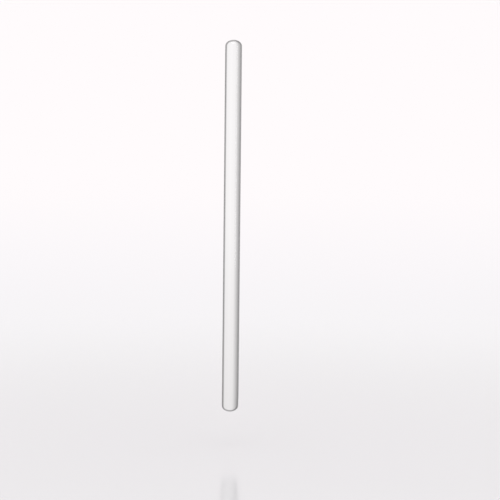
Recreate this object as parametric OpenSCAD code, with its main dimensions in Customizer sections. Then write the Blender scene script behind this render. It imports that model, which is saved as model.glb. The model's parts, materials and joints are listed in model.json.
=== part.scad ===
// Glass stirring rod: one solid rod of clear laboratory glass, cut to length,
// with both cut ends melted round in a flame.
//
// Frame: the rod stands along Z, upper end towards +Z, and the origin is the
// middle of its straight shaft. All sizes are in millimetres.

/* [Rod] */
// Length of the rod over both rounded ends
rod_len = 155; // [60:1:400]
// Outside diameter of the straight shaft
rod_d = 7; // [6:0.5:16]

/* [Upper end] */
// Radius of the melted shoulder between the shaft and the upper crown
upper_shoulder_r = 2.45; // [0.5:0.05:3.1]
// Rise of the upper end's middle above a flat end with the same shoulder
upper_crown_rise = 0.35; // [0.1:0.05:1]

/* [Lower end] */
// Radius of the melted shoulder between the shaft and the lower crown
lower_shoulder_r = 2.3; // [0.5:0.05:3.05]
// Rise of the lower end's middle above a flat end with the same shoulder
lower_crown_rise = 0.4; // [0.1:0.05:1]

/* [Hidden] */
$fn = 96;

// Clear glass, with the faint green of a thick edge, and how solid it looks
GLASS_COLOUR = [0.93, 0.97, 0.96];
GLASS_ALPHA = 0.35;

// A sector's straight sides reach this many radii out, so its arc is never cut short
SIDE_REACH = 2;
// Length of straight shaft that each end brings with it, so that it and the shaft are one
LAP = 2;

rod_r = rod_d / 2;

// Height that each melted end adds beyond the straight shaft
upper_end_h = upper_shoulder_r + upper_crown_rise;
lower_end_h = lower_shoulder_r + lower_crown_rise;
shaft_len = rod_len - upper_end_h - lower_end_h;

// Radius of the crown that a shoulder runs into without a crease
function crown_r(shoulder_r, end_h) =
    (rod_r * rod_r - 2 * rod_r * shoulder_r + end_h * end_h) / (2 * (end_h - shoulder_r));

// Angle from the rod's axis, seen from the crown's centre, to where crown and shoulder meet
function meeting_angle(shoulder_r, end_h) =
    asin((rod_r - shoulder_r) / (crown_r(shoulder_r, end_h) - shoulder_r));

// Pie slice of a disc, between two angles measured from +X
module sector(radius, from_angle, to_angle) {
    side = SIDE_REACH * radius;
    intersection() {
        circle(r = radius);
        polygon([
            [0, 0],
            [side * cos(from_angle), side * sin(from_angle)],
            [side * cos(to_angle), side * sin(to_angle)]
        ]);
    }
}

// Half outline of a melted end, on a shaft that stops at y = 0: a flat end with a round
// shoulder, and on it the shallow crown that the shoulder runs into
module end_outline(shoulder_r, end_h) {
    crown = crown_r(shoulder_r, end_h);
    translate([0, -LAP]) square([rod_r, LAP]);
    square([rod_r - shoulder_r, shoulder_r]);
    translate([rod_r - shoulder_r, 0]) sector(shoulder_r, 0, 90);
    translate([0, end_h - crown]) sector(crown, 90 - meeting_angle(shoulder_r, end_h), 90);
}

// Half outline of the whole rod, to the right of its axis
module rod_outline() {
    translate([0, -shaft_len / 2]) square([rod_r, shaft_len]);
    translate([0, shaft_len / 2]) end_outline(upper_shoulder_r, upper_end_h);
    mirror([0, 1]) translate([0, shaft_len / 2]) end_outline(lower_shoulder_r, lower_end_h);
}

// The rod itself, solid all through
module stirring_rod() {
    color(GLASS_COLOUR, GLASS_ALPHA) rotate_extrude() rod_outline();
}

stirring_rod();
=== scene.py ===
"""Looks of a glass stirring rod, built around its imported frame.

The rod is one solid cane of clear laboratory glass. It was cut to length and both cut ends were melted
round in a flame. It is modelled as one closed mesh that takes the place of the frame's plain node, and
stands upright in a plain pale studio. All sizes are in metres, in the frame's own axes: +Z runs along the
rod towards its held end.
"""

import json
import logging
import math
from dataclasses import dataclass
from dataclasses import field
from enum import Enum
from typing import Any

import bmesh
import bpy
from mathutils import Matrix
from mathutils import Vector


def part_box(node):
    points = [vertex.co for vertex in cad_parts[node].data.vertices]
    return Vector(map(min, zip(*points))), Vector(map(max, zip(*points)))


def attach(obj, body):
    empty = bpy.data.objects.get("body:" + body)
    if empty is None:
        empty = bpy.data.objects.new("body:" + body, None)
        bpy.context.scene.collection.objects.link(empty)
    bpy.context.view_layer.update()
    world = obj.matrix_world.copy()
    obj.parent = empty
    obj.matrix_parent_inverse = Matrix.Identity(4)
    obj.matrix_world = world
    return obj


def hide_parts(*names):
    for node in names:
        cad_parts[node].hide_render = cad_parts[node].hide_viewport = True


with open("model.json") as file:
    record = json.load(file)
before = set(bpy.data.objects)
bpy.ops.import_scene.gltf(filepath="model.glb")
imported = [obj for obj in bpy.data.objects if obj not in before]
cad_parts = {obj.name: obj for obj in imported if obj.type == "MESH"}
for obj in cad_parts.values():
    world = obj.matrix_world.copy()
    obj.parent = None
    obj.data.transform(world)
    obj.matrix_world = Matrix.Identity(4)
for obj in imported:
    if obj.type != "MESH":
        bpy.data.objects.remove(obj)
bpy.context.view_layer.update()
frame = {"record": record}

LOG = logging.getLogger("stirring_rod")
MM = 0.001
END_NORMAL = 0.5
ROUND_SIDES = 96

Colour = tuple[float, float, float]
Stops = tuple[tuple[float, float | Colour], ...]


class Direction(Enum):
    """Which way an end of the rod points along Z."""

    UP = 1
    DOWN = -1


class Shell(Enum):
    """Which rays may meet a thing of the studio that the camera itself must not see."""

    LIGHT = ("visible_camera", "visible_transmission")
    CARD = ("visible_camera", "visible_diffuse", "visible_glossy", "visible_shadow")

    def apply(self, thing: bpy.types.Object) -> None:
        """Hide a thing from the rays that this choice names.

        Args:
            thing: The light or card to hide.
        """
        for setting in self.value:
            setattr(thing, setting, False)


def deselect_all() -> None:
    bpy.ops.object.select_all(action="DESELECT")


def active_named(name: str) -> bpy.types.Object:
    """Name the newest object and its data.

    Args:
        name: A plain name for both.

    Returns:
        The object that the last primitive made.
    """
    thing = bpy.context.active_object
    thing.name = name
    thing.data.name = name
    return thing


class NodeSheet:
    """A node tree, with short calls that add and link its nodes."""

    def __init__(self, owner: bpy.types.Material | bpy.types.World) -> None:
        """Start an empty tree.

        Args:
            owner: The material or world that the tree belongs to.
        """
        owner.use_nodes = True
        self.owner = owner
        self.tree = owner.node_tree
        self.tree.nodes.clear()

    def add(self, kind: str, values: dict[str, Any] | None = None, **settings: Any) -> bpy.types.Node:
        """Add one node.

        Args:
            kind: The node's type, without its leading "ShaderNode".
            values: Values for its input sockets, by socket name.
            **settings: The node's own properties.

        Returns:
            The new node.
        """
        node = self.tree.nodes.new("ShaderNode" + kind)
        for setting, value in settings.items():
            setattr(node, setting, value)
        for socket, value in (values or {}).items():
            node.inputs[socket].default_value = value
        return node

    def link(self, source: bpy.types.NodeSocket, target: bpy.types.NodeSocket) -> None:
        """Join an output socket to an input socket."""
        self.tree.links.new(source, target)

    def scale(self, source: bpy.types.NodeSocket, stops: Stops) -> bpy.types.NodeSocket:
        """Turn a number into a colour by a straight scale.

        Args:
            source: The socket that gives the number.
            stops: Pairs of the number and its grey or colour, in rising order.

        Returns:
            The colour.
        """
        node = self.add("ValToRGB")
        node.color_ramp.interpolation = "LINEAR"
        points = node.color_ramp.elements
        while len(points) < len(stops):
            points.new(0.5)
        for point, (place, shade) in zip(points, stops):
            red, green, blue = shade if isinstance(shade, tuple) else (shade, shade, shade)
            point.position = place
            point.color = (red, green, blue, 1.0)
        self.link(source, node.inputs["Fac"])
        return node.outputs["Color"]


def new_finish(name: str) -> NodeSheet:
    """Start a new material.

    Args:
        name: Its name.

    Returns:
        Its empty node tree.
    """
    return NodeSheet(bpy.data.materials.new(name))


@dataclass(frozen=True)
class ClearGlass:
    """Colourless laboratory glass, drawn as cane and melted at its ends.

    Attributes:
        name: The material's name.
        ior: Refractive index of borosilicate glass.
        tint: Colour that white light takes on along the rod.
        absorption: Strength of that tint, per metre.
        painted_edge_shade: Painted shade that darkens the glass's colour from face-on to edge-on, in place
            of the dark surroundings that real glass edges refract.
        draw_line_width: Distance between the fine lines that drawing leaves along the cane.
        draw_line_length: Length over which one of those lines changes.
        draw_line_depth: Their depth.
        smudge_size: Size of the handling smudges.
        smudge_detail: How many times smaller patches break up their outlines.
        smudge_cover: Noise values at which a smudge begins and at which it is full.
        smudge_roughness: Roughness of clean glass and of a smudge.
    """

    name: str = "clear_laboratory_glass"
    ior: float = 1.473
    tint: tuple[float, float, float, float] = (0.60, 0.80, 0.75, 1.0)
    absorption: float = 2.5
    painted_edge_shade: Stops = (
        (0.30, 1.0), (0.41, 0.71), (0.46, 0.47), (0.51, 0.19), (0.63, 0.125), (0.85, 0.16),
    )
    draw_line_width: float = 0.9 * MM
    draw_line_length: float = 45 * MM
    draw_line_depth: float = 0.004 * MM
    smudge_size: float = 9 * MM
    smudge_detail: float = 3.0
    smudge_cover: tuple[float, float] = (0.5, 0.75)
    smudge_roughness: tuple[float, float] = (0.0, 0.035)

    def material(self) -> bpy.types.Material:
        """Build the glass.

        Returns:
            The finished material.
        """
        finish = new_finish(self.name)
        place = finish.add("TexCoord")
        glass = finish.add("BsdfPrincipled", {"Transmission Weight": 1.0, "IOR": self.ior})
        # Painted shade: the glass's colour is darkened where it is seen edge-on, by the Layer Weight facing.
        facing = finish.add("LayerWeight")
        finish.link(finish.scale(facing.outputs["Facing"], self.painted_edge_shade), glass.inputs["Base Color"])
        finish.link(self._smudges(finish, place), glass.inputs["Roughness"])
        finish.link(self._draw_lines(finish, place), glass.inputs["Normal"])
        depth = finish.add("VolumeAbsorption", {"Color": self.tint, "Density": self.absorption})
        output = finish.add("OutputMaterial")
        finish.link(glass.outputs["BSDF"], output.inputs["Surface"])
        finish.link(depth.outputs["Volume"], output.inputs["Volume"])
        return finish.owner

    def _smudges(self, finish: NodeSheet, place: bpy.types.Node) -> bpy.types.NodeSocket:
        """Add faint handling smudges.

        Args:
            finish: The material to add them to.
            place: Its texture coordinates.

        Returns:
            The roughness that they give.
        """
        noise = finish.add("TexNoise", {"Scale": 1 / self.smudge_size, "Detail": self.smudge_detail})
        finish.link(place.outputs["Object"], noise.inputs["Vector"])
        begin, full = self.smudge_cover
        clean, smudged = self.smudge_roughness
        limits = {"From Min": begin, "From Max": full, "To Min": clean, "To Max": smudged}
        amount = finish.add("MapRange", limits)
        finish.link(noise.outputs["Fac"], amount.inputs["Value"])
        return amount.outputs["Result"]

    def _draw_lines(self, finish: NodeSheet, place: bpy.types.Node) -> bpy.types.NodeSocket:
        """Add the fine lines that drawing leaves along the cane.

        Args:
            finish: The material to add them to.
            place: Its texture coordinates.

        Returns:
            The normal that they give.
        """
        across = 1 / self.draw_line_width
        along = 1 / self.draw_line_length
        stretch = finish.add("Mapping", {"Scale": (across, across, along)})
        finish.link(place.outputs["Object"], stretch.inputs["Vector"])
        noise = finish.add("TexNoise", {"Scale": 1.0, "Detail": 1.0})
        finish.link(stretch.outputs["Vector"], noise.inputs["Vector"])
        bump = finish.add("Bump", {"Strength": 1.0, "Distance": self.draw_line_depth})
        finish.link(noise.outputs["Fac"], bump.inputs["Height"])
        return bump.outputs["Normal"]


@dataclass(frozen=True)
class MeltedEnd:
    """A cut end that a flame has melted round: a tight shoulder that runs into a shallow crown.

    Attributes:
        direction: Which way the end points.
        rod_radius: Radius of the straight shaft.
        shaft_end: Distance from the rod's middle to where the straight shaft stops.
        height: From there to the tip.
        shoulder_radius: Radius of the rounding at the rim.
        shoulder_steps: Rings along the shoulder.
        crown_steps: Rings along the crown, the tip included.
    """

    direction: Direction
    rod_radius: float
    shaft_end: float
    height: float
    shoulder_radius: float
    shoulder_steps: int = 18
    crown_steps: int = 14

    def crown_radius(self) -> float:
        """Work out the radius of the sphere that the crown is part of, tangent to the shoulder."""
        squares = self.rod_radius**2 - 2 * self.rod_radius * self.shoulder_radius + self.height**2
        return squares / (2 * (self.height - self.shoulder_radius))

    def rings(self) -> list[tuple[float, float]]:
        """List the rings from the shaft to the last one before the tip.

        Returns:
            Pairs of a ring's radius and its distance from the rod's middle.
        """
        crown_radius = self.crown_radius()
        inner = self.rod_radius - self.shoulder_radius
        meeting = math.asin(inner / (crown_radius - self.shoulder_radius))
        rings = []
        for step in range(1, self.shoulder_steps + 1):
            angle = (math.pi / 2 - meeting) * step / self.shoulder_steps
            radius = inner + self.shoulder_radius * math.cos(angle)
            rings.append((radius, self.shaft_end + self.shoulder_radius * math.sin(angle)))
        crown_centre = self.shaft_end + self.height - crown_radius
        for step in range(self.crown_steps - 1, 0, -1):
            angle = meeting * step / self.crown_steps
            rings.append((crown_radius * math.sin(angle), crown_centre + crown_radius * math.cos(angle)))
        return rings

    def tip(self) -> float:
        """Give the distance from the rod's middle to the tip."""
        return self.shaft_end + self.height


@dataclass
class StirringRod:
    """The glass rod itself: one closed mesh, lathed ring by ring.

    Attributes:
        node: The frame's node that it stands for, and its material slot's node.
        slot: The record's material slot; not used.
        low: Lowest corner of the node's box.
        high: Highest corner of the node's box.
        shaft_length: Length of the straight shaft.
        upper_shoulder: Radius of the upper rim's rounding.
        lower_shoulder: Radius of the lower rim's rounding.
        sides: Faces around the rod.
        shaft_cuts: Rings along the straight shaft.
        melt_depth: How deep the flame's unevenness goes.
        melt_size: Size of that unevenness.
        melt_reach: How far it reaches from the tips.
        slump: How far the lower rim's softer side is drawn in.
        slump_reach: Distance over which it fades.
        glass: Its finish.
    """

    node: str
    slot: str
    low: Vector
    high: Vector
    shaft_length: float
    upper_shoulder: float = 2.45 * MM
    lower_shoulder: float = 2.3 * MM
    sides: int = 128
    shaft_cuts: int = 59
    melt_depth: float = 0.07 * MM
    melt_size: float = 2.6 * MM
    melt_reach: float = 6.0 * MM
    slump: float = 0.1 * MM
    slump_reach: float = 8.0 * MM
    glass: ClearGlass = field(default_factory=ClearGlass)

    @classmethod
    def from_frame(cls, node: str, record: dict[str, Any]) -> "StirringRod":
        """Take the rod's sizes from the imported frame.

        Args:
            node: The frame's node.
            record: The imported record.

        Returns:
            The rod, ready to build.
        """
        low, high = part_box(node)
        shaft = next(mount for mount in record["mounts"] if mount["name"] == "shaft")
        slot = next(part["material_slot"] for part in record["subparts"] if part["node"] == node)
        return cls(node, slot, low, high, shaft["dims"]["length_mm"] * MM)

    @property
    def radius(self) -> float:
        """Give the rod's radius."""
        return (self.high.x - self.low.x) / 2

    def ends(self) -> tuple[MeltedEnd, MeltedEnd]:
        """Describe both melted ends.

        Returns:
            The upper end and the lower end.
        """
        half = self.shaft_length / 2
        upper = MeltedEnd(Direction.UP, self.radius, half, self.high.z - half, self.upper_shoulder)
        lower = MeltedEnd(Direction.DOWN, self.radius, half, -self.low.z - half, self.lower_shoulder)
        return upper, lower

    def build(self) -> bpy.types.Object:
        """Model the rod, dress it and tie it to the frame.

        Returns:
            The finished rod.
        """
        rod = self._cut_cane()
        bpy.ops.object.mode_set(mode="EDIT")
        self._ring_shaft(rod)
        for end in self.ends():
            self._melt_end(rod, end)
        self._slump_lower_rim(rod)
        bpy.ops.mesh.select_all(action="SELECT")
        bpy.ops.mesh.normals_make_consistent(inside=False)
        bpy.ops.object.mode_set(mode="OBJECT")
        self._unevenness(rod)
        bpy.ops.object.shade_smooth()
        rod.data.materials.append(self.glass.material())
        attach(rod, "root")
        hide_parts(self.node)
        LOG.info("%s: %d vertices, %d faces", rod.name, len(rod.data.vertices), len(rod.data.polygons))
        return rod

    def _cut_cane(self) -> bpy.types.Object:
        """Add the straight shaft as a plain cut length of cane.

        Returns:
            The cane.
        """
        deselect_all()
        bpy.ops.mesh.primitive_cylinder_add(
            vertices=self.sides, radius=self.radius, depth=self.shaft_length, location=(0, 0, 0)
        )
        return active_named("glass_rod")

    def _ring_shaft(self, rod: bpy.types.Object) -> None:
        """Cut rings along the shaft.

        Args:
            rod: The cane, in edit mode.
        """
        bpy.ops.mesh.select_all(action="DESELECT")
        mesh = bmesh.from_edit_mesh(rod.data)
        for edge in mesh.edges:
            start, stop = (vertex.co for vertex in edge.verts)
            edge.select_set(abs(start.z - stop.z) > self.radius)
        bmesh.update_edit_mesh(rod.data)
        bpy.ops.mesh.subdivide(number_cuts=self.shaft_cuts)

    def _melt_end(self, rod: bpy.types.Object, end: MeltedEnd) -> None:
        """Draw one cut face out, ring by ring, along its shoulder and crown, and close it at the tip.

        Args:
            rod: The cane, in edit mode.
            end: The end to melt round.
        """
        sign = end.direction.value
        bpy.ops.mesh.select_mode(type="FACE")
        bpy.ops.mesh.select_all(action="DESELECT")
        mesh = bmesh.from_edit_mesh(rod.data)
        for face in mesh.faces:
            face.select_set(face.normal.z * sign > END_NORMAL)
        bmesh.update_edit_mesh(rod.data)
        radius = end.rod_radius
        height = end.shaft_end
        for next_radius, next_height in end.rings():
            scale = next_radius / radius
            bpy.ops.mesh.extrude_region()
            bpy.ops.transform.translate(value=(0, 0, sign * (next_height - height)))
            bpy.ops.transform.resize(value=(scale, scale, 1), center_override=(0, 0, 0))
            radius = next_radius
            height = next_height
        bpy.ops.mesh.poke(offset=end.tip() - height)

    def _slump_lower_rim(self, rod: bpy.types.Object) -> None:
        """Draw the softer side of the lower rim in a little, with a smooth fade.

        Args:
            rod: The rod, in edit mode.
        """
        bpy.ops.mesh.select_mode(type="VERT")
        bpy.ops.mesh.select_all(action="DESELECT")
        mesh = bmesh.from_edit_mesh(rod.data)
        rim = Vector((self.radius, 0, -self.shaft_length / 2 - self.lower_shoulder / 2))
        nearest = min(mesh.verts, key=lambda vertex: (vertex.co - rim).length)
        nearest.select_set(True)
        bmesh.update_edit_mesh(rod.data)
        bpy.ops.transform.translate(
            value=(-self.slump, 0, self.slump / 2),
            use_proportional_edit=True,
            proportional_edit_falloff="SMOOTH",
            proportional_size=self.slump_reach,
        )

    def _unevenness(self, rod: bpy.types.Object) -> None:
        """Give the melted ends the slight unevenness of hand work.

        Args:
            rod: The rod, in object mode.
        """
        ends = rod.vertex_groups.new(name="melted_glass")
        for vertex in rod.data.vertices:
            from_tip = min(self.high.z - vertex.co.z, vertex.co.z - self.low.z)
            weight = 1 - from_tip / self.melt_reach
            if weight > 0:
                ends.add([vertex.index], min(weight, 1.0), "REPLACE")
        melt = bpy.data.textures.new("flame_melt", type="CLOUDS")
        melt.noise_scale = self.melt_size
        displace = rod.modifiers.new("melt", "DISPLACE")
        displace.texture = melt
        displace.texture_coords = "LOCAL"
        displace.vertex_group = ends.name
        displace.strength = self.melt_depth
        displace.mid_level = 1.0
        bpy.ops.object.modifier_apply(modifier=displace.name)


@dataclass(frozen=True)
class PaleFloor:
    """The studio's pale table, which fades into the background all round.

    Attributes:
        drop: Height of the rod's lower tip over it.
        radius: Radius of the table.
        clear_radius: Radius inside which it is solid.
        colour: Its colour.
        roughness: Its roughness.
    """

    drop: float = 14.5 * MM
    radius: float = 0.45
    clear_radius: float = 0.05
    colour: tuple[float, float, float, float] = (0.635, 0.642, 0.655, 1.0)
    roughness: float = 0.14

    def build(self, lowest: float) -> bpy.types.Object:
        """Lay the table.

        Args:
            lowest: Height of the rod's lower tip.

        Returns:
            The table.
        """
        deselect_all()
        bpy.ops.mesh.primitive_circle_add(
            vertices=ROUND_SIDES, radius=self.radius, fill_type="NGON", location=(0, 0, lowest - self.drop)
        )
        bpy.ops.object.transform_apply(location=True)
        floor = active_named("pale_floor")
        floor.data.materials.append(self._material())
        LOG.info("%s: radius %.2f m", floor.name, self.radius)
        return floor

    def _material(self) -> bpy.types.Material:
        """Build the table's soft, slightly glossy white, which thins out to nothing at its rim.

        Returns:
            The finished material.
        """
        finish = new_finish("pale_table")
        place = finish.add("TexCoord")
        flat = finish.add("VectorMath", {1: (1.0, 1.0, 0.0)}, operation="MULTIPLY")
        finish.link(place.outputs["Object"], flat.inputs[0])
        reach = finish.add("VectorMath", operation="LENGTH")
        finish.link(flat.outputs["Vector"], reach.inputs[0])
        limits = {"From Min": self.clear_radius, "From Max": self.radius, "To Min": 1.0, "To Max": 0.0}
        fade = finish.add("MapRange", limits, interpolation_type="SMOOTHSTEP")
        finish.link(reach.outputs["Value"], fade.inputs["Value"])
        white = finish.add("BsdfPrincipled", {"Base Color": self.colour, "Roughness": self.roughness})
        finish.link(fade.outputs["Result"], white.inputs["Alpha"])
        output = finish.add("OutputMaterial")
        finish.link(white.outputs["BSDF"], output.inputs["Surface"])
        return finish.owner


@dataclass(frozen=True)
class CardRing:
    """A ring of white and dark card around the rod, seen only through the glass.

    It is what gives clear glass its drawn edges in front of a bright background. Its greys are painted light
    and shade: the ring glows with them, and no lamp lights it.

    Attributes:
        radius: Radius of the ring.
        margin: How far it stands over the rod's upper tip.
        white: Grey of the white cards.
        behind_reach: Bearing at which the cards behind the rod end and white card begins.
        behind: The cards behind the rod, as pairs of a bearing and a grey. A bearing is in degrees from
            straight behind, and grows towards the camera's left. The darkest card stands on that side.
        front: The card beside the camera on each side, as such pairs.
        dimming: Pairs of a share of the ring's height and a colour, which tints the ring like the background
            and adds painted shade that darkens it towards the table.
    """

    radius: float = 15 * MM
    margin: float = 20 * MM
    white: float = 0.93
    behind_reach: float = 64
    behind: Stops = (
        (-52, 0.60), (-38, 0.56), (-34, 0.53), (-30, 0.60), (-25, 0.91), (-12, 0.94), (-5, 0.965), (0, 0.94),
        (6, 0.925), (10, 0.82), (14, 0.70), (19, 0.57), (26, 0.43), (31, 0.38), (37, 0.55), (50, 0.62),
    )
    front: Stops = ((114, 0.93), (122, 0.62), (136, 0.62), (144, 0.93))
    dimming: Stops = (
        (0.08, (0.860, 0.841, 0.845)),
        (0.48, (0.990, 0.968, 0.972)),
        (0.70, (1.000, 0.978, 0.982)),
    )

    def build(self, lowest: float, highest: float) -> bpy.types.Object:
        """Stand the cards on the table.

        Args:
            lowest: Height of the table.
            highest: Height of the rod's upper tip.

        Returns:
            The ring.
        """
        height = highest + self.margin - lowest
        deselect_all()
        bpy.ops.mesh.primitive_cylinder_add(
            vertices=ROUND_SIDES,
            radius=self.radius,
            depth=height,
            end_fill_type="NOTHING",
            location=(0, 0, lowest + height / 2),
        )
        bpy.ops.object.transform_apply(location=True)
        ring = active_named("card_ring")
        ring.data.materials.append(self._material(lowest, lowest + height))
        Shell.CARD.apply(ring)
        LOG.info("%s: %.0f mm tall", ring.name, height / MM)
        return ring

    def _turn_scale(self) -> Stops:
        """List the cards' greys all the way round.

        Returns:
            Pairs of a share of a turn, which starts at the camera, and a grey.
        """
        edge = self.behind_reach
        right_front = tuple((-bearing, grey) for bearing, grey in reversed(self.front))
        right = ((-180, self.white), *right_front, (-edge, self.white))
        left = ((edge, self.white), *self.front, (180, self.white))
        return tuple(((bearing + 180) / 360, grey) for bearing, grey in (*right, *self.behind, *left))

    def _material(self, lowest: float, highest: float) -> bpy.types.Material:
        """Build the cards' shades as smooth scales round and up the ring.

        Args:
            lowest: Height of the ring's foot.
            highest: Height of its upper edge.

        Returns:
            The finished material.
        """
        finish = new_finish("glowing_card_ring")
        place = finish.add("TexCoord")
        turn = finish.add("Mapping", {"Rotation": (0.0, 0.0, math.radians(-90))})
        finish.link(place.outputs["Object"], turn.inputs["Vector"])
        bearing = finish.add("TexGradient", gradient_type="RADIAL")
        finish.link(turn.outputs["Vector"], bearing.inputs["Vector"])
        shade_round = finish.scale(bearing.outputs["Fac"], self._turn_scale())
        split = finish.add("SeparateXYZ")
        finish.link(place.outputs["Object"], split.inputs["Vector"])
        share = finish.add("MapRange", {"From Min": lowest, "From Max": highest})
        finish.link(split.outputs["Z"], share.inputs["Value"])
        shade_up = finish.scale(share.outputs["Result"], self.dimming)
        shade = finish.add("VectorMath", operation="MULTIPLY")
        finish.link(shade_round, shade.inputs[0])
        finish.link(shade_up, shade.inputs[1])
        # The ring glows with its greys as painted light and shade, which only the glass sees.
        glow = finish.add("Emission")
        finish.link(shade.outputs["Vector"], glow.inputs["Color"])
        output = finish.add("OutputMaterial")
        finish.link(glow.outputs["Emission"], output.inputs["Surface"])
        return finish.owner


@dataclass(frozen=True)
class SoftLight:
    """One soft studio light that faces the rod's middle.

    Attributes:
        name: Its name.
        bearing: Degrees round from the camera's side, positive to the camera's right.
        elevation: Degrees over the horizon.
        distance: Distance from the rod.
        width: Width of its face.
        height: Height of its face.
        brightness: Brightness of its face, where the background is 1.
        on_glass_only: Whether it lights the rod alone and leaves the table as it is.
    """

    name: str
    bearing: float
    elevation: float
    distance: float
    width: float
    height: float
    brightness: float
    on_glass_only: bool

    def build(self, rod: bpy.types.Object) -> bpy.types.Object:
        """Hang the light.

        Args:
            rod: The rod that it lights.

        Returns:
            The light.
        """
        turn = math.radians(self.bearing)
        rise = math.radians(self.elevation)
        away = Vector((math.sin(turn) * math.cos(rise), -math.cos(turn) * math.cos(rise), math.sin(rise)))
        facing = away.to_track_quat("Z", "Y").to_euler()
        deselect_all()
        bpy.ops.object.light_add(type="AREA", location=away * self.distance, rotation=facing)
        light = active_named(self.name)
        light.data.shape = "RECTANGLE"
        light.data.size = self.width
        light.data.size_y = self.height
        light.data.energy = self.brightness * math.pi * self.width * self.height
        Shell.LIGHT.apply(light)
        if self.on_glass_only:
            lit = bpy.data.collections.new(self.name + "_lit")
            lit.objects.link(rod)
            light.light_linking.receiver_collection = lit
        LOG.info("%s: %.2f W", light.name, light.data.energy)
        return light


@dataclass(frozen=True)
class Background:
    """The bright, even surroundings, a little darker below.

    Attributes:
        shades: Pairs of a height and a colour. A height is the sine of the angle over the horizon, on a
            scale from 0, straight down, to 1, straight up.
    """

    shades: Stops = (
        (0.0, (0.882, 0.878, 0.880)),
        (0.410, (0.882, 0.878, 0.880)),
        (0.432, (0.920, 0.905, 0.918)),
        (0.439, (0.932, 0.912, 0.930)),
        (0.448, (0.966, 0.938, 0.955)),
        (0.458, (1.0, 0.965, 0.974)),
        (1.0, (1.0, 0.965, 0.974)),
    )

    def build(self) -> None:
        """Put the surroundings in the world."""
        world = bpy.data.worlds.new("pale_studio")
        sky = NodeSheet(world)
        place = sky.add("TexCoord")
        split = sky.add("SeparateXYZ")
        sky.link(place.outputs["Generated"], split.inputs["Vector"])
        height = sky.add("MapRange", {"From Min": -1.0, "From Max": 1.0})
        sky.link(split.outputs["Z"], height.inputs["Value"])
        glow = sky.add("Background")
        sky.link(sky.scale(height.outputs["Result"], self.shades), glow.inputs["Color"])
        output = sky.add("OutputWorld")
        sky.link(glow.outputs["Background"], output.inputs["Surface"])
        bpy.context.scene.world = world
        LOG.info("%s: in place", world.name)


@dataclass(frozen=True)
class ProductCamera:
    """A long lens that looks slightly down on the rod.

    Attributes:
        elevation: Degrees over the horizon.
        distance: Distance to the point it looks at.
        view_angle: Degrees across the frame.
        roll: Degrees that the rod leans to the right in the frame.
        right: How far right of the rod's middle it looks.
        down: How far below the rod's middle it looks.
    """

    elevation: float = 6.0
    distance: float = 1.186
    view_angle: float = 10.0
    roll: float = 0.6
    right: float = 7.62 * MM
    down: float = 9.55 * MM

    def build(self, middle: Vector) -> bpy.types.Object:
        """Set the camera up.

        Args:
            middle: The middle of the rod.

        Returns:
            The camera, which is the scene's own.
        """
        rise = math.radians(self.elevation)
        back = Vector((0, -math.cos(rise), math.sin(rise)))
        target = middle + Vector((self.right, 0, -self.down))
        turn = back.to_track_quat("Z", "Y").to_matrix() @ Matrix.Rotation(math.radians(self.roll), 3, "Z")
        deselect_all()
        bpy.ops.object.camera_add(location=target + back * self.distance, rotation=turn.to_euler())
        camera = active_named("product_camera")
        camera.data.angle = math.radians(self.view_angle)
        bpy.context.scene.camera = camera
        LOG.info("%s: %.0f mm lens", camera.name, camera.data.lens)
        return camera


@dataclass(frozen=True)
class Studio:
    """Everything round the rod: background, table, cards, lights and camera.

    Attributes:
        background: The bright surroundings.
        floor: The pale table.
        cards: The ring of card.
        lights: The soft lights.
        camera: The camera.
        bounces: How often light may turn inside the glass, which guides it from end to end.

    The noise filter reads the colours alone, because the table's fading rim would show as a line in its
    other guides.
    """

    background: Background = Background()
    floor: PaleFloor = PaleFloor()
    cards: CardRing = CardRing()
    lights: tuple[SoftLight, ...] = (
        SoftLight(
            name="side_box",
            bearing=51,
            elevation=8,
            distance=0.6,
            width=0.12,
            height=0.34,
            brightness=2,
            on_glass_only=True,
        ),
        SoftLight(
            name="overhead_box",
            bearing=0,
            elevation=80,
            distance=0.8,
            width=0.5,
            height=0.5,
            brightness=2,
            on_glass_only=False,
        ),
    )
    camera: ProductCamera = ProductCamera()
    bounces: int = 32

    def build(self, rod: bpy.types.Object, low: Vector, high: Vector) -> None:
        """Set the studio up round the rod.

        Args:
            rod: The finished rod.
            low: Lowest corner of the rod's box.
            high: Highest corner of the rod's box.
        """
        scene = bpy.context.scene
        scene.view_settings.view_transform = "Standard"
        scene.cycles.max_bounces = self.bounces
        scene.cycles.glossy_bounces = self.bounces
        scene.cycles.transmission_bounces = self.bounces
        scene.cycles.denoising_input_passes = "RGB"
        self.background.build()
        self.floor.build(low.z)
        self.cards.build(low.z - self.floor.drop, high.z)
        for light in self.lights:
            light.build(rod)
        self.camera.build((low + high) / 2)


def main() -> None:
    """Build the rod and the studio round it."""
    logging.basicConfig(level=logging.INFO)
    rod = StirringRod.from_frame("stirring_rod", frame["record"])
    Studio().build(rod.build(), rod.low, rod.high)


if __name__ == "__main__":
    main()
